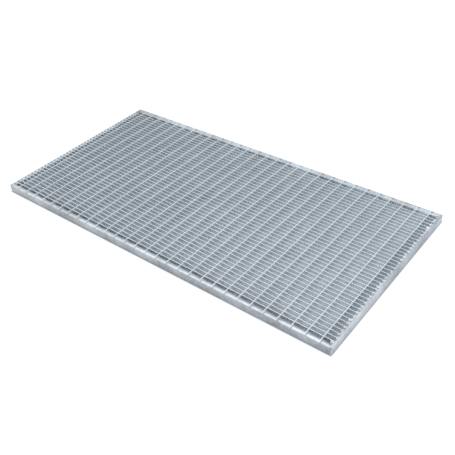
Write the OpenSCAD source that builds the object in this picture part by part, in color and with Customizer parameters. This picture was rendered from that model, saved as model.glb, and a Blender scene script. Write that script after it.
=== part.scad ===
// Pressed steel grating panel: bearing bars and cross bars pressed flush and
// welded at every crossing, inside a rolled edging that the bar ends are
// welded into. The panel lies flat: +X along its length, +Y to its back,
// +Z up, with the origin under its centre.

/* [Panel] */
// Overall length of the panel, along the cross bars
panel_length = 990; // [600:10:1200]
// Overall width of the panel, along the bearing bars
panel_width = 490; // [300:10:700]
// Height of the bearing bars and the edging
panel_height = 20; // [18:1:30]

/* [Bearing bars] */
// Centre distance of the bearing bars
bearing_pitch = 33.33; // [25:0.01:50]
// Thickness of a bearing bar
bearing_thickness = 2; // [1.5:0.5:3]
// Least distance from an end edge of the panel to a bearing bar's centre
bearing_margin = 16; // [14:1:18]

/* [Cross bars] */
// Centre distance of the cross bars
cross_pitch = 11.11; // [9:0.01:20]
// Thickness of a cross bar
cross_thickness = 2; // [1:0.5:2.5]
// Depth of a cross bar, down from the top of the panel
cross_depth = 10; // [6:1:14]
// Distance from the front edge to the first cross bar's centre
front_margin = 19.3; // [16:0.1:22]
// Least distance from the back edge to the last cross bar's centre
back_margin = 16; // [14:1:18]

/* [Edging] */
// Thickness of the upright web of the edging
web_thickness = 2; // [1.5:0.5:3]
// Width of the edging's lips, out to its outer face
edging_reach = 11; // [9:0.5:12]
// Width of the level land on each lip, out to the outer face
edging_land = 5; // [4:0.5:6]
// How far the face of a lip falls from the land to its tip
lip_fall = 2.2; // [1:0.1:3]
// Thickness of a lip at its tip
lip_tip = 1.2; // [0.8:0.1:2]
// Radius of the edging's outer edges
edge_radius = 1.5; // [0.5:0.5:1.5]

/* [Hidden] */
$fn = 48;
// The field of bars is made in this many sections, side by side
section_count = 5;

zinc_grey = [0.74, 0.77, 0.80];
edging_grey = [0.66, 0.69, 0.73];
// How far a cutting shape runs past what it cuts
overcut = 1;

// Bearing bars stand at one pitch on both sides of a bar on the centre line
bars_each_side = floor((panel_length / 2 - bearing_margin) / bearing_pitch);
bearing_count = 2 * bars_each_side + 1;
cross_count = floor((panel_width - front_margin - back_margin) / cross_pitch) + 1;
// Half the length and half the width inside the edging's web
inner_half_length = panel_length / 2 - web_thickness;
inner_half_width = panel_width / 2 - web_thickness;
// Thickness of a lip at its land
lip_root = lip_fall + lip_tip;

function bearing_x(i) = (i - bars_each_side) * bearing_pitch;
function cross_y(j) = front_margin - panel_width / 2 + j * cross_pitch;
// The first bearing bar of a section; one past the last bar for the section after the last
function first_bar(section) = round(section * bearing_count / section_count);
// Where a section starts: halfway between two bearing bars, or at the edging's web
function section_start(section) =
    section == 0 ? -inner_half_length :
    section == section_count ? inner_half_length :
    bearing_x(first_bar(section)) - bearing_pitch / 2;

module bearing_bar(i) {
    translate([bearing_x(i) - bearing_thickness / 2, -inner_half_width, 0])
        cube([bearing_thickness, 2 * inner_half_width, panel_height]);
}

module cross_bar(j, start, end) {
    translate([start, cross_y(j) - cross_thickness / 2, panel_height - cross_depth])
        cube([end - start, cross_thickness, cross_depth]);
}

// Section of the rolled edging: x runs inward from its outer face, y is height.
// It is a channel whose two lips hold the bar ends.
module edging_section() {
    difference() {
        square([edging_reach, panel_height]);
        translate([web_thickness, lip_root])
            square([edging_reach, panel_height - 2 * lip_root]);
        lip_face();
        translate([0, panel_height]) mirror([0, 1]) lip_face();
    }
}

// What is rolled off the face of one lip: its fall and its rounded outer edge
module lip_face() {
    polygon([[edging_land, 0], [edging_reach, lip_fall], [edging_reach, 0]]);
    difference() {
        square(edge_radius);
        translate([edge_radius, edge_radius]) circle(edge_radius);
    }
}

// A length of edging along X, its outer face at y = -distance, with square ends
module edging_run(run, distance) {
    translate([-run / 2, -distance, 0])
        rotate([90, 0, 90]) linear_extrude(run) edging_section();
}

// Wedge that cuts the edging's end at 45 degrees from the panel's corner inward
module mitre_wedge(run, distance) {
    deep = edging_reach + overcut;
    translate([run / 2, -distance, -overcut])
        linear_extrude(panel_height + 2 * overcut)
            polygon([[0, 0], [-deep, deep], [deep, deep], [deep, 0]]);
}

// One mitred side of the edging, turned to its place round the panel
module edging(turn) {
    along = turn % 180 == 0;
    run = along ? panel_length : panel_width;
    distance = (along ? panel_width : panel_length) / 2;
    color(edging_grey)
        rotate([0, 0, turn])
            difference() {
                edging_run(run, distance);
                mitre_wedge(run, distance);
                mirror([1, 0, 0]) mitre_wedge(run, distance);
            }
}

// The edging all round with square ends, which the bar ends are fitted to
module edging_round() {
    for (turn = [0, 180]) {
        rotate([0, 0, turn]) edging_run(panel_length, panel_width / 2);
        rotate([0, 0, turn + 90]) edging_run(panel_width, panel_length / 2);
    }
}

// One section of the field: its bars fused where they cross, their ends cut to
// the edging's lips and reaching the web between them
module bar_grid(section) {
    start = section_start(section);
    end = section_start(section + 1);
    color(zinc_grey)
        difference() {
            union() {
                for (i = [first_bar(section) : first_bar(section + 1) - 1])
                    bearing_bar(i);
                for (j = [0 : cross_count - 1])
                    cross_bar(j, start, end);
            }
            edging_round();
        }
}

bar_grid(0);  // bar_grid_1
bar_grid(1);  // bar_grid_2
bar_grid(2);  // bar_grid_3
bar_grid(3);  // bar_grid_4
bar_grid(4);  // bar_grid_5
edging(0);  // edging_front
edging(90);  // edging_right
edging(180);  // edging_back
edging(270);  // edging_left
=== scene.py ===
"""A pressed steel grating panel: its welded lattice of bars, its rolled edging
and the hot-dip galvanised finish on both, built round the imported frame."""

import math
import random
from collections import namedtuple

import bmesh
import bpy
import numpy as np
from mathutils import Matrix, Vector, noise


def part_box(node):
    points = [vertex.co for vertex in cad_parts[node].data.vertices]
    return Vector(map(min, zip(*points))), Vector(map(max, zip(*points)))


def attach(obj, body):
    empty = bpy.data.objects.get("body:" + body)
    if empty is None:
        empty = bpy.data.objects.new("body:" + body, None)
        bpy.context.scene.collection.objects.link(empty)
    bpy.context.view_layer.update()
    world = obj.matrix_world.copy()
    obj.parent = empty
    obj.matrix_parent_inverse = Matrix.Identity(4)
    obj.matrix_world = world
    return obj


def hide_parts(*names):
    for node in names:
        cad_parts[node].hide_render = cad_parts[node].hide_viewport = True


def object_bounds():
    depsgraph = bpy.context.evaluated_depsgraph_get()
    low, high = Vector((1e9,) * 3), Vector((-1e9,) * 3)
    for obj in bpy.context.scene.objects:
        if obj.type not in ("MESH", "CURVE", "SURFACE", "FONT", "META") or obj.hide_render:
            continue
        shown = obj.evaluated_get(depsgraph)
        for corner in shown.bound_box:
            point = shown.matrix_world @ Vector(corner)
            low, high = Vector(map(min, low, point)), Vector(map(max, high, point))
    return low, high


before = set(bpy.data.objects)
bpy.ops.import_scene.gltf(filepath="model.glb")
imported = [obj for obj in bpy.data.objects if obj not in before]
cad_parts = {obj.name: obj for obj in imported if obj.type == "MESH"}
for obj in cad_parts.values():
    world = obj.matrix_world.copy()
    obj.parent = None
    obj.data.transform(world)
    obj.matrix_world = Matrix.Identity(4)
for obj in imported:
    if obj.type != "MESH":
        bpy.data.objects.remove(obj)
cad_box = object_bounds()

MM = 0.001

# The panel, from the frame
HALF_LENGTH = cad_box[1][0]
HALF_WIDTH = cad_box[1][1]
TOP = cad_box[1][2]
SECTIONS = [f"bar_grid_{number}" for number in range(1, 6)]

# The bars
OUTERMOST = 16 * MM                # least space from an outermost bar to the panel's outer face
BEARING_PITCH = 33.33 * MM
BEARING_SIDE = int((HALF_LENGTH - OUTERMOST) / BEARING_PITCH)
BEARING_X = [(i - BEARING_SIDE) * BEARING_PITCH for i in range(2 * BEARING_SIDE + 1)]
CROSS_PITCH = 11.11 * MM
CROSS_START = 19.3 * MM - HALF_WIDTH
CROSS_COUNT = int((HALF_WIDTH - OUTERMOST - CROSS_START) / CROSS_PITCH) + 1
CROSS_Y = [CROSS_START + j * CROSS_PITCH for j in range(CROSS_COUNT)]
CROSS_DEPTH = 10 * MM
FOOT = TOP - CROSS_DEPTH           # height of the cross bars' underside
BAR_HALF = 1 * MM                  # half of a bar's thickness
BEVEL = 0.25 * MM                  # of every bar's long edges

# The rolled edging
WEB = 2 * MM
REACH = 11 * MM
LAND = 5 * MM
LIP_FALL = 2.2 * MM
LIP_TIP = 1.2 * MM
EDGE_RADIUS = 1.5 * MM
STATION = 1.11 * MM                # between two rows of points along a side
MITRE_GAP = 0.4 * MM               # from the last even row to the mitre

# The welded corners of the edging
CORNER_BEAD = (7.6 * MM, 4.9 * MM)  # middle of the bead, from the end and from the side edge
BEAD_RADIUS = 2.6 * MM
BEAD_HEIGHT = 0.4 * MM
DIMPLE_RADIUS = 6 * MM
DIMPLE_DEPTH = 0.5 * MM
PIT_DROP = 1.6 * MM                # middle of the pit in the seam, below the top
PIT_RADIUS = 2.4 * MM
PIT_DEPTH = 0.25 * MM
SEAM_WIDTH = 1.2 * MM

# How one side of the edging looks, in mm unless said. Front and back run along X, left and right
# along Y. The lower lip is the same on all of them.
# outward: the way it faces. land: width of its level land. fall: how far the lip falls from there.
# crown: how round its upper outer edge is.
# Lumps of the welded bar ends, as ranges: stray from the bar, half wide, high, reach past the lip.
# start: where on the lip lumps begin and are whole. slant: how far a lump leans along the side
# per mm inward. grain: how uneven the whole lip is, from 0 to 1.
# Gaps of painted shade beside the lumps, as ranges: gap_at from the bar, gap_wide, gap_dull from 0 to 1.
# gap_on: the part of the lip they cover. gap_spread: how many times wider they are at the low end.
# As pairs, for the low end of the side and the high end: lip_dull, how much painted shade darkens the lip
# away from the lumps, and web_dark, how much painted shade darkens the web, both from 0 to 1, and stretch,
# how much further the lip reaches.
# shine: how strong the land's painted highlight is, 0 to 1. inside: painted light in the channel, 0 to 1;
# below 0, painted shade.
Side = namedtuple("Side", "outward land fall crown stray wide high reach start slant grain "
                          "gap_at gap_wide gap_dull gap_on gap_spread lip_dull web_dark shine inside stretch")
SIDES = {
    "edging_front": Side(
        outward=(0, -1), land=6.2, fall=1.2, crown=1.0, shine=1.0, inside=0.3, stretch=(1.5, 0.0),
        stray=(-0.3, 0.3), wide=(1.2, 1.8), high=(0.2, 0.6), reach=(0.0, 0.6), start=(3.5, 6.5),
        slant=0.0, grain=0.1, gap_at=(1.9, 2.9), gap_wide=(1.2, 1.9), gap_dull=(0.6, 0.9),
        gap_on=(0.5, 9.0), gap_spread=2.8, lip_dull=(0.0, 0.0), web_dark=(0.2, 0.75)),
    "edging_right": Side(
        outward=(1, 0), land=5.0, fall=2.2, crown=0.4, shine=0.0, inside=-0.1, stretch=(-0.7, -1.2),
        stray=(-1.8, 1.8), wide=(1.5, 2.9), high=(0.6, 3.0), reach=(0.3, 2.2), start=(3.6, 5.4),
        slant=0.0, grain=1.0, gap_at=(4.4, 6.6), gap_wide=(0.8, 1.6), gap_dull=(0.2, 1.0),
        gap_on=(5.0, 12.0), gap_spread=1.0, lip_dull=(0.1, 0.45), web_dark=(0.25, 1.0)),
    "edging_back": Side(
        outward=(0, 1), land=5.0, fall=2.2, crown=0.4, shine=0.8, inside=1.0, stretch=(3.0, 0.6),
        stray=(-0.2, 0.2), wide=(1.0, 1.4), high=(0.5, 1.0), reach=(0.0, 1.0), start=(0.8, 2.6),
        slant=0.0, grain=0.4, gap_at=(2.8, 3.8), gap_wide=(2.8, 3.8), gap_dull=(0.8, 1.0),
        gap_on=(-2.0, 7.0), gap_spread=1.8, lip_dull=(0.25, 0.05), web_dark=(0.2, 0.2)),
    "edging_left": Side(
        outward=(-1, 0), land=5.0, fall=1.2, crown=0.4, shine=0.0, inside=1.0, stretch=(-0.4, 1.4),
        stray=(-0.3, 0.3), wide=(1.8, 2.4), high=(1.0, 2.0), reach=(0.0, 0.2), start=(1.2, 2.8),
        slant=-0.45, grain=0.3, gap_at=(5.0, 6.2), gap_wide=(2.0, 2.8), gap_dull=(0.8, 1.0),
        gap_on=(-2.0, 7.0), gap_spread=1.0, lip_dull=(0.55, 0.7), web_dark=(0.2, 0.2)),
}


# ---------------------------------------------------------------- mesh helpers

MERGE = 0.002 * MM
WANDER_SEED = 1


def strip(a, b):
    """Quads between two equal rows of vertex numbers; the last axis runs along the row."""
    return np.stack([a[..., :-1], a[..., 1:], b[..., 1:], b[..., :-1]], -1).reshape(-1, 4)


def build(name, points, faces, slot, replaced, **values):
    """A closed, smooth-shaded piece from points and faces, with one number per point for each value."""
    mesh = bpy.data.meshes.new(name)
    mesh.from_pydata(points.tolist(), [], [face for part in faces for face in part.tolist()])
    for key, numbers in values.items():
        mesh.attributes.new(key, "FLOAT", "POINT").data.foreach_set("value", numbers.astype(np.float32))
    work = bmesh.new()
    work.from_mesh(mesh)
    bmesh.ops.remove_doubles(work, verts=work.verts, dist=MERGE)
    bmesh.ops.recalc_face_normals(work, faces=work.faces)
    for face in work.faces:
        face.smooth = True
    work.to_mesh(mesh)
    work.free()
    piece = bpy.data.objects.new(name, mesh)
    bpy.context.scene.collection.objects.link(piece)
    evened = piece.modifiers.new("even_normals", "WEIGHTED_NORMAL")
    evened.keep_sharp = True
    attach(piece, "root")
    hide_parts(replaced)
    return piece


def wander(mesh, size, amount, sag):
    """Lets a mesh stray smoothly, by up to amount, over lengths of about size. The part above the
    cross bars' underside also sags by up to sag times that, and nothing rises past the top. One
    seed for every mesh lets neighbours stray alike where they meet, and each run alike."""
    noise.seed_set(WANDER_SEED)
    for vertex in mesh.vertices:
        stray = noise.noise_vector(vertex.co / size) * amount
        vertex.co.x += stray.x
        vertex.co.y += stray.y
        if vertex.co.z > FOOT:
            vertex.co.z = min(vertex.co.z - abs(stray.z) * sag, TOP)


# ------------------------------------------------------------------ the lattice

# A tile is one crossing with its bars to halfway to the next, in four quarters
QUARTERS = np.array([(1, 1), (-1, 1), (-1, -1), (1, -1)])
BACK_RIGHT, BACK_LEFT, FRONT_LEFT, FRONT_RIGHT = range(4)
RIGHT = [BACK_RIGHT, FRONT_RIGHT]
LEFT = [BACK_LEFT, FRONT_LEFT]
# Quarters that share a cross bar's width, and those that share a bearing bar's
ON_CROSS_BAR = ((BACK_RIGHT, FRONT_RIGHT), (BACK_LEFT, FRONT_LEFT))
ON_BEARING_BAR = ((BACK_RIGHT, BACK_LEFT), (FRONT_RIGHT, FRONT_LEFT))

# A quarter's plan has 8 points: the cross bar's end, a stop on it, four on the zinc fillet's arc,
# a stop on the bearing bar and that bar's end. The arc's last point belongs to both bars.
ARC = np.radians([270, 240, 210, 180])
ARC_END = 5
WHOLE = np.ones(8)
CROSS_BAR_ONLY = np.array([1, 1, 1, 0.66, 0.33, 0, 0, 0])
BETWEEN_STOPS = np.array([0, 0, 1, 1, 1, 1, 0, 0])

# Heights of a tile's levels, with how far each point of the plan is set in
UPPER_LEVELS = [(TOP, BEVEL * WHOLE), (TOP - 0.3 * BEVEL, 0.3 * BEVEL * WHOLE), (TOP - BEVEL, 0 * WHOLE),
                (FOOT + BEVEL, 0 * WHOLE), (FOOT, BEVEL * CROSS_BAR_ONLY)]
TOP_LEVELS = 3
LOWER_LEVELS = [(FOOT / 2, 0), (BEVEL, 0), (0, BEVEL)]

FILLETS = (0.25, 0.7)              # range of the zinc fillets' radius, in mm
SINK = (0, 0.12)                   # range of how far a crossing sinks, in mm
HUB_DROP = 0.1 * MM                # middle of a crossing, below the top
END_DIP = 2.5 * MM                 # of the bars' ends, to pass under and over the edging's lips
END_LENGTH = LAND + 0.5 * MM - WEB  # of the part that dips

Tiles = namedtuple("Tiles", "column row centre arm at_edging")


def arms(centres, low, high, pitch):
    """How far each bar's tile reaches up and down its line: to halfway, or to the section's end."""
    reach = np.full((len(centres), 2), pitch / 2)
    reach[-1, 0] = high - centres[-1]
    reach[0, 1] = centres[0] - low
    return reach


def lay_tiles(low, high):
    """The tiles of a section: column, row and centre of each, the length of each quarter's arms
    along X and Y, and which of the arms end at the edging."""
    xs = np.array([x for x in BEARING_X if low.x < x < high.x])
    ys = np.array(CROSS_Y)
    reach_x = arms(xs, low.x, high.x, BEARING_PITCH)
    reach_y = arms(ys, low.y, high.y, CROSS_PITCH)
    grids = np.meshgrid(range(len(xs)), range(len(ys)), indexing="ij")
    column, row = [grid.ravel() for grid in grids]
    side = (1 - QUARTERS) // 2
    arm = np.stack([reach_x[column][:, side[:, 0]], reach_y[row][:, side[:, 1]]], -1)
    at_edging = arm > np.array([BEARING_PITCH, CROSS_PITCH]) / 2 + 1 * MM
    return Tiles(column, row, np.stack([xs[column], ys[row]], -1), arm, at_edging)


def quarter_plan(arm, stop, radius, inset):
    """Plan of a quarter of each tile: along the cross bar, round the fillet, up the bearing bar."""
    half = BAR_HALF - inset
    bend = (BAR_HALF + radius)[..., None]
    turn = radius[..., None] + inset[2:6]
    on_cross_bar = np.broadcast_to(half[:2], radius.shape + (2,))
    on_bearing_bar = np.broadcast_to(half[6:], radius.shape + (2,))
    x = np.concatenate([arm[..., :1], stop[..., :1], bend + turn * np.cos(ARC), on_bearing_bar], -1)
    y = np.concatenate([on_cross_bar, bend + turn * np.sin(ARC), stop[..., 1:], arm[..., 1:]], -1)
    return np.stack([x, y], -1)


def upper_points(tiles, dip, chance):
    """Points of the tiles down to the cross bars' underside, by tile, quarter, level and plan."""
    count = len(tiles.column)
    radius = chance.uniform(*FILLETS, (count, 4)) * MM
    bend = (BAR_HALF + radius)[..., None]
    stop = np.where(tiles.at_edging, tiles.arm - END_LENGTH, (tiles.arm + bend) / 2)
    sink = chance.uniform(*SINK, (count, 1, 1)) * MM * BETWEEN_STOPS
    levels = []
    for number, (height, inset) in enumerate(UPPER_LEVELS):
        plan = quarter_plan(tiles.arm, stop, radius, inset) * QUARTERS[None, :, None, :]
        z = height - (dip + sink if number < TOP_LEVELS else 0 * dip)
        levels.append(np.concatenate([plan + tiles.centre[:, None, None, :], z[..., None]], -1))
    return np.stack(levels, 2)


def lower_points(upper, dip):
    """Points of the bearing bars below the cross bars, by tile, quarter, level and plan."""
    levels = []
    for height, inset in LOWER_LEVELS:
        level = upper[:, :, -1, ARC_END:].copy()
        level[..., 0] -= QUARTERS[None, :, None, 0] * inset
        level[..., 2] = height + (dip[..., ARC_END:] if height < FOOT / 2 else 0)
        levels.append(level)
    return np.stack(levels, 2)


def tile_faces(tiles, upper_shape, lower_shape):
    """Faces of the tiles, whose points are the upper ones, the lower ones and each tile's middle."""
    up = np.arange(math.prod(upper_shape)).reshape(upper_shape)
    down = up.size + np.arange(math.prod(lower_shape)).reshape(lower_shape)
    hub = up.size + down.size + np.arange(len(tiles.column))

    # Sides of the crossing, top and underside of the cross bar, top of the bearing bar
    faces = [strip(up[:, :, :-1], up[:, :, 1:])]
    for level in (0, -1):
        for a, b in ON_CROSS_BAR:
            faces.append(strip(up[:, a, level, :ARC_END + 1], up[:, b, level, :ARC_END + 1]))
    for a, b in ON_BEARING_BAR:
        faces.append(strip(up[:, a, 0, ARC_END:], up[:, b, 0, ARC_END:]))

    # Sides and underside of the bearing bar below the cross bar, and the middle of the crossing
    whole = np.concatenate([up[:, :, -1:, ARC_END:], down], 2)
    sides = [np.concatenate([whole[:, front, :, ::-1], whole[:, back]], -1) for back, front in ON_CROSS_BAR]
    flank = np.stack(sides, 1)
    faces.append(strip(flank[:, :, :-1], flank[:, :, 1:]))
    faces.append(strip(flank[:, 0, -1], flank[:, 1, -1]))
    for a in range(4):
        faces.append(np.stack([hub, up[:, a, 0, ARC_END], up[:, (a + 1) % 4, 0, ARC_END]], -1))

    # Ends of the cross bars, then of the bearing bars
    last_column = tiles.column == tiles.column.max()
    for chosen, (a, b) in zip((last_column, tiles.column == 0), ON_CROSS_BAR):
        faces.append(strip(up[chosen, a, :, 0], up[chosen, b, :, 0]))
    post = np.concatenate([up[..., -1], down[..., -1]], 2)
    last_row = tiles.row == tiles.row.max()
    for chosen, (a, b) in zip((last_row, tiles.row == 0), ON_BEARING_BAR):
        faces.append(strip(post[chosen, a], post[chosen, b]))
    return faces


def top_mask(tiles, shape):
    """How strong the painted highlight on the tops is: bearing bars more toward the back and left, cross bars
    more toward the front, and less just right of each crossing. Also how strong it is on the middles."""
    back = 0.5 + tiles.centre[:, 1] / (2 * HALF_WIDTH)
    right = 0.5 + tiles.centre[:, 0] / (2 * HALF_LENGTH)
    bearing_bar = 0.7 + 0.2 * back - 0.08 * right
    cross_bar_end = 0.68 - 0.2 * back
    left_of_crossing = 0.98 - 0.5 * back
    right_of_crossing = np.array([0.5, 0.33, 0.33])
    top = np.zeros(shape)
    top[:, :, :2] = bearing_bar[:, None, None, None]
    top[:, :, :2, 0] = cross_bar_end[:, None, None]
    top[:, LEFT, :2, 1:4] = left_of_crossing[:, None, None, None]
    top[:, RIGHT, :2, 1:4] = right_of_crossing
    return top, bearing_bar


def tile_masks(tiles, upper_shape, lower_shape):
    """How much of each tint the tiles' points have: top, painted highlight on the tops; end, painted light on
    the bars' ends by the edging and on the upper right flanks; shade, painted shade low on the right flanks
    and beside the right side of the edging."""
    top, top_middle = top_mask(tiles, upper_shape)
    at_edging = tiles.at_edging[:, :, None, None, :]
    in_last_column = tiles.centre[:, 0, None] > BEARING_X[-1] - 1 * MM
    last_arm = (in_last_column & (QUARTERS[:, 0] > 0))[..., None, None]

    end = np.zeros(upper_shape)
    # Painted light on the bars' ends by the edging, where the lips shade them
    end[..., :2] = at_edging[..., 0] & ~last_arm
    end[..., 6:] = at_edging[..., 1]
    # Painted light on the upper part of the right flanks
    end[:, RIGHT, 2:, ARC_END:] = np.maximum(end[:, RIGHT, 2:, ARC_END:], 0.45)
    end_below = np.zeros(lower_shape)
    end_below[..., 1:] = at_edging[..., 1]

    # Painted shade on the last column's right arms, and low on the right flanks
    shade = np.zeros(upper_shape)
    shade[..., :ARC_END + 1] = last_arm * np.array([0.2, 0.5, 1, 1, 1, 1])
    shade_below = np.zeros(lower_shape)
    shade_below[:, RIGHT] = 0.7

    middle = np.zeros(len(tiles.column))
    return {"top": np.concatenate([top.ravel(), np.zeros(end_below.size), top_middle]),
            "end": np.concatenate([end.ravel(), end_below.ravel(), middle]),
            "shade": np.concatenate([shade.ravel(), shade_below.ravel(), middle])}


def lattice_section(name, seed):
    """One section of the field of bars, a tile at each crossing, with zinc in the corners."""
    chance = np.random.RandomState(seed)
    tiles = lay_tiles(*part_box(name))
    dip = np.zeros(tiles.at_edging.shape[:2] + (8,))
    dip[..., 0] = tiles.at_edging[..., 0] * END_DIP
    dip[..., -1] = tiles.at_edging[..., 1] * END_DIP
    upper = upper_points(tiles, dip, chance)
    lower = lower_points(upper, dip)
    middle = np.column_stack([tiles.centre, np.full(len(tiles.centre), TOP - HUB_DROP)])
    points = np.concatenate([upper.reshape(-1, 3), lower.reshape(-1, 3), middle])
    shapes = (upper.shape[:-1], lower.shape[:-1])
    piece = build(name.replace("bar_grid", "bars"), points, tile_faces(tiles, *shapes),
                  "galvanised_bars", name, **tile_masks(tiles, *shapes))
    wander(piece.data, 45 * MM, 0.22 * MM, sag=0.6)
    return piece


# ------------------------------------------------------------------ the edging

# Upper outer edge of the edging, as inward and downward distances in mm from its corner, for a
# land of LAND and a crown of 1
SHOULDER = ((0.12, 2.3), (0.5, 1.55), (1.1, 1.0), (1.9, 0.58), (2.9, 0.25), (4.1, 0), (5, 0.02))
SHOULDER_START = 3.2 * MM
LOWER_CROWN = 0.4
BLOTCH = 4 * MM                    # size of the lips' unevenness

Sweep = namedtuple("Sweep", "run along deep high part to_end upper")
Marks = namedtuple("Marks", "height reach gaps uneven off_bead")


def half_profile(land, fall, crown):
    """The upper half of the edging's section as (inward, height) points, from its outer face to
    the inside of its web: a land and a fall as given, the outer edge rounder where crown is larger."""
    tip = LIP_TIP / 2
    slope = fall / (REACH - land)
    under = TOP - fall - LIP_TIP
    face = [(0, z) for z in np.linspace(TOP / 2, TOP - SHOULDER_START * crown, 4)]
    shoulder = [(u * land / LAND * MM, TOP - drop * crown * MM) for u, drop in SHOULDER]
    falling = np.linspace(land + 1.2 * MM, REACH - 1.5 * MM, 3)
    lip = [(u, TOP - 0.1 * MM - (u - land) * slope) for u in falling]
    rounding = [(REACH - tip * (1 - math.cos(a)), TOP - fall - tip * (1 - math.sin(a)))
                for a in np.radians([65, 22, -22, -65])]
    underside = [(u, under) for u in (8.5 * MM, 5.5 * MM, 3.2 * MM)]
    inner_corner = [(2.3 * MM, under - 0.3 * MM), (WEB, under - 1.2 * MM), (WEB, TOP / 2)]
    return face + shoulder + lip + rounding + underside + inner_corner


def edging_profile(side):
    """Section of the edging as (inward, height) points, once round from the middle of its outer face."""
    lower = [(u, TOP - z) for u, z in half_profile(LAND, LIP_FALL, LOWER_CROWN)[::-1]]
    return np.array(half_profile(side.land * MM, side.fall * MM, side.crown) + lower[1:-1])


def stations(run, inward):
    """Where each point of the profile stands along a side of half length run, and how far in:
    evenly along the side, then round the corner's radius to the mitre."""
    corner = EDGE_RADIUS
    even = np.linspace(-1, 1, int(2 * run / STATION) + 1)[:, None]
    rounded = inward < corner
    margin = np.where(rounded, corner, inward + MITRE_GAP)
    along = even * (run - margin)
    deep = np.broadcast_to(inward, along.shape)
    ends_along, ends_deep = [], []
    for turn in np.radians([15, 30, 45]):
        part = turn / math.radians(45)
        ends_along.append(np.where(rounded, run - corner + (corner - inward) * math.sin(turn),
                                   run - inward - MITRE_GAP * (1 - part)))
        ends_deep.append(np.where(rounded, corner - (corner - inward) * math.cos(turn), inward))
    ends_along, ends_deep = np.array(ends_along), np.array(ends_deep)
    along = np.concatenate([-ends_along[::-1], along, ends_along])
    deep = np.concatenate([ends_deep[::-1], deep, ends_deep])
    return along, deep


def smooth(value, start, end):
    """0 up to start, 1 from end, and a smooth rise between."""
    part = np.clip((value - start) / (end - start), 0, 1)
    return part * part * (3 - 2 * part)


def ridge(distance, width):
    """A smooth bump, 1 at its middle."""
    return np.exp(-(distance / width) ** 2)


def between(pair, part):
    """From the first of the pair, where part is 0, to the second, where it is 1."""
    return pair[0] + (pair[1] - pair[0]) * part


def bar_end_marks(side, sweep, chance):
    """Height and reach that the welds of the bar ends give a side's upper lip, and the painted shade of the
    gaps beside them.
    """
    height, reach, gaps = [np.zeros_like(sweep.along) for _ in range(3)]
    lean = side.slant * (sweep.deep - LAND)
    for centre in (CROSS_Y if side.outward[0] else BEARING_X):
        spread_out = between((side.gap_spread, 1), (centre + sweep.run) / (2 * sweep.run))
        off_bar = sweep.along - centre - lean
        lump = ridge(off_bar - chance.uniform(*side.stray) * MM, chance.uniform(*side.wide) * MM)
        gap = ridge(off_bar - chance.uniform(*side.gap_at) * spread_out * MM,
                    chance.uniform(*side.gap_wide) * spread_out * MM)
        height = np.maximum(height, chance.uniform(*side.high) * MM * lump)
        reach = np.maximum(reach, chance.uniform(*side.reach) * MM * lump)
        # Painted shade in a gap beside the bar, breaking the land's highlight
        gap_shading = chance.uniform(*side.gap_dull) * gap * (1.25 - 0.25 * spread_out)
        gaps = np.maximum(gaps, gap_shading) * (1 - lump)
    low, high = (edge * MM for edge in side.gap_on)
    gaps = gaps * smooth(sweep.deep, low - 1 * MM, low + 1 * MM)
    gaps = gaps * (1 - smooth(sweep.deep, high - 1 * MM, high + 1 * MM))
    return height, reach, gaps


def ragged(along, deep, size, seed):
    """Uneven values from -1 to 1 over a side's points, in blotches of about size."""
    places = np.stack([along, deep, np.full_like(along, seed * size)], -1).reshape(-1, 3) / size
    values = np.array([noise.noise(Vector(place)) for place in places]).reshape(along.shape)
    return np.clip(2.6 * values, -1, 1)


def sweep_profile(side):
    """The smooth surface of a side, as a row of points for each station: how far along from its
    middle, how deep from its outer face and how high each point is. part runs from 0 to 1 along
    the side, to_end is the distance to the nearer end, and upper is true on the upper lip."""
    profile = edging_profile(side)
    run = HALF_WIDTH if side.outward[0] else HALF_LENGTH
    along, deep = stations(run, profile[:, 0])
    high = np.broadcast_to(profile[:, 1], along.shape)
    upper = (high > TOP - side.fall * MM - LIP_TIP / 2) & (deep > EDGE_RADIUS)
    return Sweep(run, along, deep, high, (along + run) / (2 * run), run - np.abs(along), upper)


def lip_marks(side, sweep, seed):
    """What the welds and the zinc add to a side's lip, before its finish is known."""
    height, reach, gaps = bar_end_marks(side, sweep, random.Random(seed))
    uneven = ragged(sweep.along, sweep.deep, BLOTCH, seed)
    height = height * (1 + 0.4 * uneven) + side.grain * 0.9 * MM * np.clip(uneven, 0, 1)
    bead = CORNER_BEAD if side.outward[0] else CORNER_BEAD[::-1]
    off_bead = np.hypot(sweep.run - bead[0] - np.abs(sweep.along), sweep.deep - bead[1])
    height = height * (1 - ridge(off_bead, DIMPLE_RADIUS))
    return Marks(height, reach * (1 + 0.5 * uneven), gaps, uneven, off_bead)


def dull_and_painted_shade_mask(side, sweep, marks, lip, corner, inner, pit):
    """How dark and matt the zinc is made: painted shade in the gaps, on the bare parts of the lip, round the
    corners' beads and in a channel whose inside is below 0; matt blotches on the bare parts of an uneven lip;
    the corners' pits."""
    bare = 1 - smooth(marks.height, 0.1 * MM, 0.6 * MM) * lip
    blotches = side.grain * np.clip(0.5 - 1.6 * marks.uneven, 0, 1) * lip
    # lip_dull is painted shade on the lip away from the lumps; the blotches are matt zinc
    dull = np.maximum(marks.gaps, np.maximum(between(side.lip_dull, sweep.part), blotches) * bare)
    near_top = smooth(sweep.high, TOP - 3 * MM, TOP - 1 * MM)
    dull = np.where(sweep.upper | (sweep.deep < EDGE_RADIUS), dull * near_top, 0)
    # Painted shade in a ring round each corner's bead
    around = ridge(sweep.to_end - 4 * MM, 6 * MM) * (1 - corner)
    dull = np.maximum(dull, 0.2 * around * sweep.upper)
    # Painted shade in a channel whose inside is below 0, and the corners' pits
    return np.maximum(np.maximum(dull * (1 - corner), inner * max(-side.inside, 0)), pit)


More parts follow.
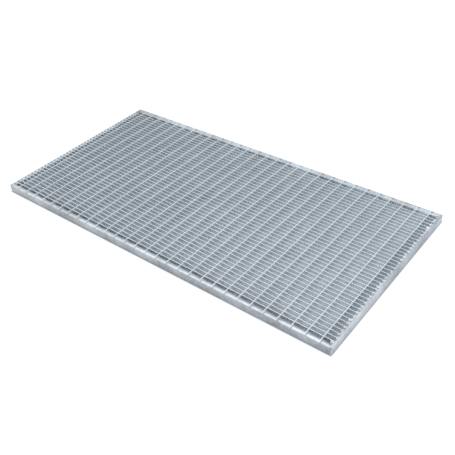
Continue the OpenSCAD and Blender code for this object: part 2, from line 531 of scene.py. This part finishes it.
def edging_masks(side, sweep, marks, lip, corner, pit):
    """How much of each tint a side's points have: welds, matt marks, and painted highlight, light and shade.
    """
    deep, high = sweep.deep, sweep.high
    land_end = side.land * MM
    # The outer face, whose own tint is painted light
    web = 1 - smooth(deep, 0.3 * MM, EDGE_RADIUS)
    # Painted highlight on the land, as strong as shine, and on the corners' beads
    land = smooth(deep, 1.2 * MM, 3 * MM) * (1 - smooth(deep, land_end - 0.5 * MM, land_end + 2 * MM))
    land = np.where(high > TOP - 2 * MM, np.maximum(side.shine * land, corner), 0)
    # Painted shade on the web: darker towards the bottom, and along the side by web_dark
    low = np.clip(between(side.web_dark, sweep.part) * 1.15 + 0.6 * (0.5 - high / TOP), 0, 1)
    low = web * np.maximum(low, 1 - smooth(high, 1 * MM, 4 * MM))
    under_lip = high < TOP - side.fall * MM - LIP_TIP + 0.1 * MM
    inner = (deep > EDGE_RADIUS) & under_lip & (high > 1 * MM)
    # Painted light in the channel under the lip, less near its top
    inside = inner * np.maximum(side.inside, 0) * (1 - 0.5 * smooth(high, 10 * MM, 16 * MM))
    # The welds' lumps, and a painted highlight along each corner's seam on the web
    seam = ridge(sweep.to_end - deep, SEAM_WIDTH)
    weld_and_painted_highlight = np.where(sweep.upper, smooth(marks.height, 0.1 * MM, 0.8 * MM) * lip, 0)
    weld_and_painted_highlight = np.maximum(weld_and_painted_highlight, 0.9 * seam * web * (1 - pit))
    dull = dull_and_painted_shade_mask(side, sweep, marks, lip, corner, inner, pit)
    return {"web": web, "low": low, "inside": inside, "weld_and_painted_highlight": weld_and_painted_highlight, "dull": dull, "land": land}


def edging_relief(side, sweep, marks, lip, corner, pit, dull):
    """How deep and how high a side's points are with all its lumps, dimples and pits."""
    bump = BEAD_HEIGHT * corner - DIMPLE_DEPTH * ridge(marks.off_bead, DIMPLE_RADIUS)
    raised = sweep.high + marks.height * lip + bump - 0.5 * MM * dull
    high = np.where(sweep.upper, raised, sweep.high)
    reach = marks.reach + between(side.stretch, sweep.part) * MM
    deep = sweep.deep + reach * smooth(sweep.deep, 7 * MM, REACH) * (high > TOP / 2)
    deep = np.where(deep < WEB / 2, deep + PIT_DEPTH * pit, deep)
    return deep, np.clip(high, 0, TOP)


def edging_side(name, side, seed):
    """One rolled side of the edging, swept along the panel, with the marks of the welded bar ends."""
    sweep = sweep_profile(side)
    marks = lip_marks(side, sweep, seed)
    lip = smooth(sweep.deep, side.start[0] * MM, side.start[1] * MM)
    corner = ridge(marks.off_bead, BEAD_RADIUS)
    off_pit = np.hypot(sweep.to_end - sweep.deep, sweep.high - TOP + PIT_DROP)
    pit = ridge(off_pit, PIT_RADIUS) * (sweep.deep < EDGE_RADIUS)
    masks = edging_masks(side, sweep, marks, lip, corner, pit)
    deep, high = edging_relief(side, sweep, marks, lip, corner, pit, masks["dull"])

    if side.outward[0]:
        x, y = side.outward[0] * (HALF_LENGTH - deep), sweep.along
    else:
        x, y = sweep.along, side.outward[1] * (HALF_WIDTH - deep)
    points = np.stack([x, y, high], -1).reshape(-1, 3)
    ids = np.arange(sweep.along.size).reshape(sweep.along.shape)
    ring = np.concatenate([ids, ids[:, :1]], 1)
    faces = [strip(ring[:-1], ring[1:]), ids[:1], ids[-1:]]
    return build(name.replace("edging", "rolled_edging"), points, faces, "galvanised_edging", name,
                 **{key: mask.ravel() for key, mask in masks.items()})


# ------------------------------------------------------------------- materials

# Sizes of the marks in the zinc
CRYSTAL = 7 * MM
CLOUD = 22 * MM
GRAIN = 1.1 * MM
PATCH = 75 * MM
MOTTLE = 9 * MM


def node(tree, kind, values=None, **settings):
    """A new shader node. A value given for an input is a number, a colour or another node's output."""
    made = tree.nodes.new("ShaderNode" + kind)
    for key, value in settings.items():
        setattr(made, key, value)
    for key, value in (values or {}).items():
        if isinstance(value, bpy.types.NodeSocket):
            tree.links.new(value, made.inputs[key])
        else:
            made.inputs[key].default_value = value
    return made


def calc(tree, operation, a, b):
    """The output of a Math node."""
    return node(tree, "Math", {0: a, 1: b}, operation=operation).outputs[0]


def mix(tree, factor, a, b):
    """The output of a colour Mix node."""
    return node(tree, "Mix", {0: factor, 6: a, 7: b}, data_type="RGBA").outputs[2]


def texture_noise(tree, place, size, detail):
    """Noise from 0 to 1 whose blotches are about size across."""
    scaled = node(tree, "Mapping", {"Vector": place, "Scale": [1 / size] * 3}).outputs[0]
    return node(tree, "TexNoise", {"Vector": scaled, "Scale": 1.0, "Detail": detail}).outputs["Fac"]


def spread(tree, value, low, high, start=0.35, end=0.65):
    """A value from start to end, spread over low to high. Noise mostly lies from 0.35 to 0.65."""
    values = {"Value": value, "From Min": start, "From Max": end, "To Min": low, "To Max": high}
    return node(tree, "MapRange", values).outputs[0]


def galvanised(name, dark, light, roughness, patches, masks):
    """Hot-dip zinc: crystals of slightly different grey, clouds, wide paler and darker patches,
    mottling and fine grain. Each mask is a mesh value, the tint it brings and how much rougher."""
    material = bpy.data.materials.new(name)
    material.use_nodes = True
    tree = material.node_tree
    shader = tree.nodes["Principled BSDF"]
    shader.inputs["Metallic"].default_value = 1.0
    place = node(tree, "TexCoord").outputs["Object"]

    cells = node(tree, "TexVoronoi", {"Vector": place, "Scale": 1 / CRYSTAL})
    crystal = node(tree, "SeparateColor", {0: cells.outputs["Color"]}).outputs[0]
    cloud = texture_noise(tree, place, CLOUD, detail=5)
    grain = texture_noise(tree, place, GRAIN, detail=2)
    tone = calc(tree, "ADD", spread(tree, cloud, 0.1, 0.75), calc(tree, "MULTIPLY", crystal, 0.25))
    colour = mix(tree, tone, (*dark, 1), (*light, 1))
    rough = calc(tree, "ADD", spread(tree, cloud, roughness + 0.06, roughness - 0.06),
                 calc(tree, "MULTIPLY", crystal, 0.08))
    for attribute, tint, rougher in masks:
        mask = node(tree, "Attribute", attribute_name=attribute).outputs["Fac"]
        shade = mix(tree, tone, (*[0.93 * part for part in tint], 1), (*tint, 1))
        colour = mix(tree, mask, colour, shade)
        rough = calc(tree, "ADD", rough, calc(tree, "MULTIPLY", mask, rougher))
    patch = spread(tree, texture_noise(tree, place, PATCH, detail=2), 1 - patches, 1.0)
    mottle = spread(tree, texture_noise(tree, place, MOTTLE, detail=3), -0.3 * patches, 0.3 * patches)
    strength = calc(tree, "ADD", patch, mottle)
    colour = node(tree, "VectorMath", {0: colour, "Scale": strength}, operation="SCALE").outputs[0]
    relief = calc(tree, "ADD", calc(tree, "MULTIPLY", crystal, 0.3), grain)
    bump = node(tree, "Bump", {"Height": relief, "Strength": 0.35, "Distance": 0.08 * MM})
    tree.links.new(colour, shader.inputs["Base Color"])
    tree.links.new(rough, shader.inputs["Roughness"])
    tree.links.new(bump.outputs[0], shader.inputs["Normal"])
    return material


def bar_zinc():
    """Matt, even zinc, with painted highlight on the bars' tops, painted light on their ends and upper right
    flanks, and painted shade low on the right flanks and in the last column.
    """
    return galvanised("bar_zinc", dark=(0.63, 0.68, 0.715), light=(0.71, 0.76, 0.795),
                      roughness=0.42, patches=0.04,
                      # end: painted light on the ends by the edging and on the upper right flanks
                      masks=[("end", (0.90, 0.95, 0.98), 0.1),
                             # shade: painted shade low on the right flanks and in the last column
                             ("shade", (0.60, 0.655, 0.70), 0.1),
                             # top: painted highlight on the tops
                             ("top", (0.96, 0.985, 1.0), 0.0)])


def edging_zinc():
    """Smoother zinc in wide patches, with welds, seams and the land lit by painted highlight, painted light
    on the web and in the channel, painted shade low on the web, and matt marks mixed with painted shade.
    """
    return galvanised("edging_zinc", dark=(0.625, 0.67, 0.705), light=(0.76, 0.805, 0.835),
                      roughness=0.32, patches=0.25,
                      # land: painted highlight on the land and on the corners' beads
                      masks=[("land", (0.97, 0.985, 0.995), -0.09),
                             # web: painted light, a brighter tint for the outer face
                             ("web", (0.83, 0.865, 0.885), 0.14),
                             # low: painted shade, darker towards the foot of the web
                             ("low", (0.53, 0.555, 0.585), 0.14),
                             # inside: painted light in the channel under the lip
                             ("inside", (0.91, 0.95, 0.98), 0.2),
                             # weld: welds painted bright as a highlight, and a painted highlight along the
                             # seams
                             ("weld_and_painted_highlight", (0.92, 0.96, 0.985), 0.06),
                             # dull: matt blotches and pits, with painted shade in the gaps, round the beads,
                             # on the lip and in a channel
                             ("dull", (0.345, 0.38, 0.41), 0.2)])


# ------------------------------------------------------------------- the studio

CAMERA_EYE = Vector((0.8919, -0.9347, 0.9418))
CAMERA_TARGET = Vector((0.1386, -0.0551, 0.0200))
CAMERA_ROLL = -4.553
CAMERA_LENS = 50.45
CAMERA_SHIFT = (-0.0328, 0.0048)

# Strength of the sky, level with the floor and overhead
HORIZON = 0.44
ZENITH = 1.26
SKY = (0.92, 0.96, 1.0, 1)
LAMP_PLACE = Vector((1.5, 0, 0.85))
LAMP_TARGET = Vector((0.3, 0, 0))

PAINT = (0.38, 0.4, 0.42, 1)
FLOOR_GLOW = 0.68                  # added where the camera sees the floor outside the panel
CONTACT_SHADOW = (2.2 * MM, 3 * MM)  # beyond the ends and the long sides, where that glow sets in
MIRROR_GLOW = (0.33, 0.48)         # of the floor in reflections, at the left and the right
BACK_GLOW = 0.4                    # more of it, near the back edge
LEFT_GLOW = 0.22                   # or near the left edge
RIM = (10 * MM, 35 * MM)           # inside the edge, where these two are whole and where they end


def aim(thing, eye, target, roll=0.0):
    """Places a camera or lamp at eye and turns it to target, rolled about its own axis."""
    look = (target - eye).to_track_quat("-Z", "Y").to_matrix().to_4x4()
    thing.matrix_world = Matrix.Translation(eye) @ look @ Matrix.Rotation(math.radians(roll), 4, "Z")


def place_camera():
    """A camera above the panel's front right corner, looking down across the panel."""
    data = bpy.data.cameras.new("camera")
    data.lens = CAMERA_LENS
    data.shift_x, data.shift_y = CAMERA_SHIFT
    data.sensor_width = 36.0
    camera = bpy.data.objects.new("camera", data)
    bpy.context.scene.collection.objects.link(camera)
    bpy.context.scene.camera = camera
    aim(camera, CAMERA_EYE, CAMERA_TARGET, CAMERA_ROLL)


def seen_glow(tree, x, y, camera_ray):
    """Glow that makes the floor white to the camera, all round the panel but for a contact shadow."""
    beyond = []
    for axis, half, shadow in zip((x, y), (HALF_LENGTH, HALF_WIDTH), CONTACT_SHADOW):
        beyond.append(spread(tree, calc(tree, "ABSOLUTE", axis, 0), 0.0, 1.0, half, half + shadow))
    open_floor = calc(tree, "MULTIPLY", calc(tree, "MAXIMUM", *beyond), camera_ray)
    return calc(tree, "MULTIPLY", open_floor, FLOOR_GLOW)


def mirrored_glow(tree, x, y, glossy_ray):
    """Glow that the steel mirrors, brighter to the right and near the back and left edges."""
    brighter_right = spread(tree, x, *MIRROR_GLOW, -HALF_LENGTH, HALF_LENGTH)
    back_rim = spread(tree, y, 0.0, BACK_GLOW, HALF_WIDTH - RIM[1], HALF_WIDTH - RIM[0])
    left_rim = spread(tree, x, LEFT_GLOW, 0.0, RIM[0] - HALF_LENGTH, RIM[1] - HALF_LENGTH)
    rim = calc(tree, "MAXIMUM", back_rim, left_rim)
    return calc(tree, "MULTIPLY", glossy_ray, calc(tree, "ADD", brighter_right, rim))


def lay_floor():
    """A pale floor that glows to the camera and in reflections, and keeps the panel's shadow."""
    bpy.ops.mesh.primitive_plane_add(size=8)
    floor = bpy.context.object
    floor.name = "floor"
    material = bpy.data.materials.new("pale_floor")
    material.use_nodes = True
    tree = material.node_tree
    tree.nodes.clear()
    path = node(tree, "LightPath")
    place = node(tree, "SeparateXYZ", {0: node(tree, "TexCoord").outputs["Object"]})
    x, y = place.outputs["X"], place.outputs["Y"]
    seen = seen_glow(tree, x, y, path.outputs["Is Camera Ray"])
    mirrored = mirrored_glow(tree, x, y, path.outputs["Is Glossy Ray"])
    paint = node(tree, "BsdfDiffuse", {"Color": PAINT})
    glow = node(tree, "Emission", {"Strength": calc(tree, "MAXIMUM", seen, mirrored)})
    both = node(tree, "AddShader", {0: paint.outputs[0], 1: glow.outputs[0]})
    node(tree, "OutputMaterial", {"Surface": both.outputs[0]})
    floor.data.materials.append(material)


def raise_sky():
    """A pale sky, brightest overhead, and white to the camera."""
    world = bpy.data.worlds.new("studio")
    bpy.context.scene.world = world
    world.use_nodes = True
    tree = world.node_tree
    ray = node(tree, "TexCoord").outputs["Generated"]
    up = node(tree, "SeparateXYZ", {0: ray}).outputs["Z"]
    sky = tree.nodes["Background"]
    sky.inputs["Color"].default_value = SKY
    tree.links.new(spread(tree, up, HORIZON, ZENITH, 0.0, 1.0), sky.inputs["Strength"])
    backdrop = node(tree, "Background", {"Color": (1, 1, 1, 1), "Strength": 1.0})
    seen = node(tree, "LightPath").outputs["Is Camera Ray"]
    both = node(tree, "MixShader", {0: seen, 1: sky.outputs[0], 2: backdrop.outputs[0]})
    tree.links.new(both.outputs[0], tree.nodes["World Output"].inputs["Surface"])


def hang_lamp():
    """A large soft lamp off to the panel's right."""
    lamp = bpy.data.lights.new("side_softbox", "AREA")
    lamp.shape = "RECTANGLE"
    lamp.size = 1.6
    lamp.size_y = 1.0
    lamp.energy = 8
    softbox = bpy.data.objects.new("side_softbox", lamp)
    bpy.context.scene.collection.objects.link(softbox)
    aim(softbox, LAMP_PLACE, LAMP_TARGET)


# ------------------------------------------------------------------- the scene

bpy.context.scene.view_settings.view_transform = "Standard"
place_camera()
raise_sky()
hang_lamp()
lay_floor()

bars_finish = bar_zinc()
edging_finish = edging_zinc()
for number, section in enumerate(SECTIONS):
    lattice_section(section, 100 + number).data.materials.append(bars_finish)
for number, (side_name, side) in enumerate(SIDES.items()):
    edging_side(side_name, side, 200 + number).data.materials.append(edging_finish)
